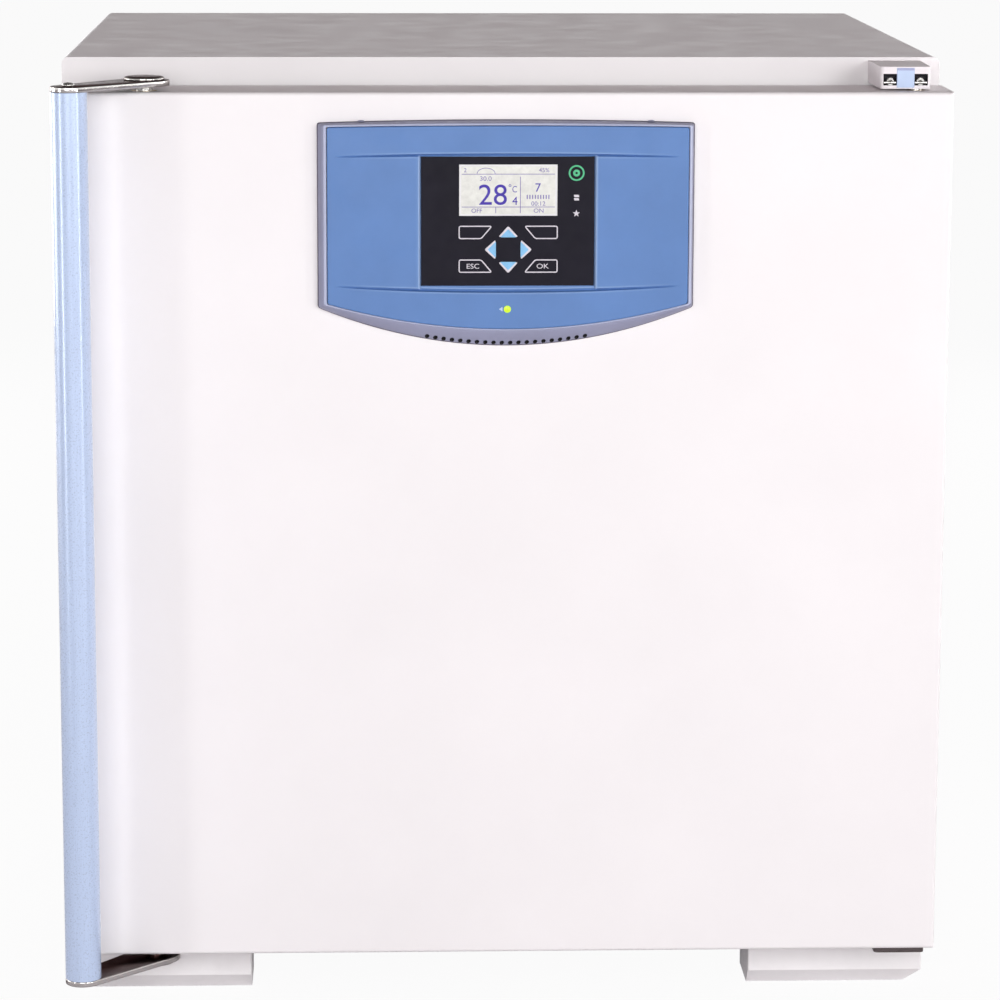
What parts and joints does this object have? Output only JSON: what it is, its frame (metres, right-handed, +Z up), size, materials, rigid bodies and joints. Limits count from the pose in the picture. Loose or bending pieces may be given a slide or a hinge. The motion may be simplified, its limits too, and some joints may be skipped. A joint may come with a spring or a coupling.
{
  "type": "dry heat sterilizer",
  "caption": "Bench-top hot-air sterilizer: insulated cabinet on feet, right-hinged front door with a curved control panel, turning full-height bar handle, fan-heated chamber with wire shelves.",
  "frame": {"origin": "middle of the footprint, on the surface the feet stand on", "axes": "+Z up, the door faces -Y, +X to the right of someone facing the door"},
  "size_m": [0.62, 0.64, 0.68],
  "materials": {
    "casing_white": "satin",
    "foot_white": "satin",
    "sheet_zinc": "satin",
    "stainless": "satin",
    "polished_steel": "polished",
    "hinge_white": "satin",
    "handle_blue": "satin",
    "insert_blue": "gloss",
    "rim_grey": "matte",
    "fascia_blue": "satin",
    "keypad_black": "satin",
    "display": "gloss",
    "light_green": "gloss",
    "silicone": "matte",
    "wool": "matte",
    "screw_steel": "satin",
    "bush_brass": "satin",
    "plastic_black": "matte",
    "board_green": "satin",
    "heater_steel": "satin",
    "motor_grey": "satin"
  },
  "bodies": {
    "cabinet": {"outer_casing": "casing_white", "front_frame": "casing_white", "base_tray": "sheet_zinc", "rear_panel": "sheet_zinc", "rear_screws": "screw_steel", "foot_front_left": "foot_white", "foot_front_right": "foot_white", "foot_rear_left": "foot_white", "foot_rear_right": "foot_white", "chamber_liner": "stainless", "chamber_insulation": "wool", "shelf_rack_left": "stainless", "shelf_rack_right": "stainless", "wire_shelf_lower": "polished_steel", "wire_shelf_upper": "polished_steel", "air_baffle": "stainless", "baffle_studs": "screw_steel", "heater_ring": "heater_steel", "fan_motor": "motor_grey", "temperature_probe": "stainless", "limiter_probe": "stainless", "safety_limiter": "plastic_black", "exhaust_tube": "stainless", "flap_actuator": "plastic_black", "mains_inlet": "plastic_black", "fuse_holders": "plastic_black", "data_socket": "plastic_black", "board_tray": "sheet_zinc", "power_board": "board_green", "hinge_block_top": "hinge_white", "hinge_insert": "insert_blue", "hinge_screws": "screw_steel", "hinge_plate_bottom": "polished_steel", "hinge_pins": "screw_steel", "locking_plates": "screw_steel"},
    "door": {"door_shell": "casing_white", "door_inner_panel": "stainless", "inner_panel_screws": "screw_steel", "door_insulation": "wool", "door_gasket": "silicone", "panel_rim": "rim_grey", "panel_fascia": "fascia_blue", "keypad": "keypad_black", "display_window": "display", "status_led": "light_green", "control_board": "board_green", "board_standoffs": "screw_steel", "hinge_bushes": "bush_brass", "shaft_bushes": "bush_brass"},
    "handle": {"handle_bar": "handle_blue", "lever_top": "polished_steel", "lever_bottom": "polished_steel", "latch_shaft": "screw_steel", "latch_cranks": "screw_steel", "pivot_caps": "polished_steel", "bar_screws": "screw_steel"},
    "fan": {"fan_shaft": "screw_steel", "fan_impeller": "stainless"},
    "flap": {"exhaust_flap": "stainless", "flap_spindle": "screw_steel"}
  },
  "joints": [
    {"name": "door_hinge", "type": "hinge", "parent": "cabinet", "child": "door", "pos_m": [0.286, -0.2465, 0.35], "axis": [0, 0, 1], "range_deg": [0, 180]},
    {"name": "handle_turn", "type": "hinge", "parent": "door", "child": "handle", "pos_m": [-0.2494, -0.251, 0.35], "axis": [0, 0, 1], "range_deg": [0, 35]},
    {"name": "fan_spin", "type": "hinge", "parent": "cabinet", "child": "fan", "pos_m": [0, 0.23, 0.2995], "axis": [0, 1, 0], "continuous": true},
    {"name": "flap_turn", "type": "hinge", "parent": "cabinet", "child": "flap", "pos_m": [0.14, 0.285, 0.4195], "axis": [0, 0, 1], "range_deg": [0, 90]}
  ]
}
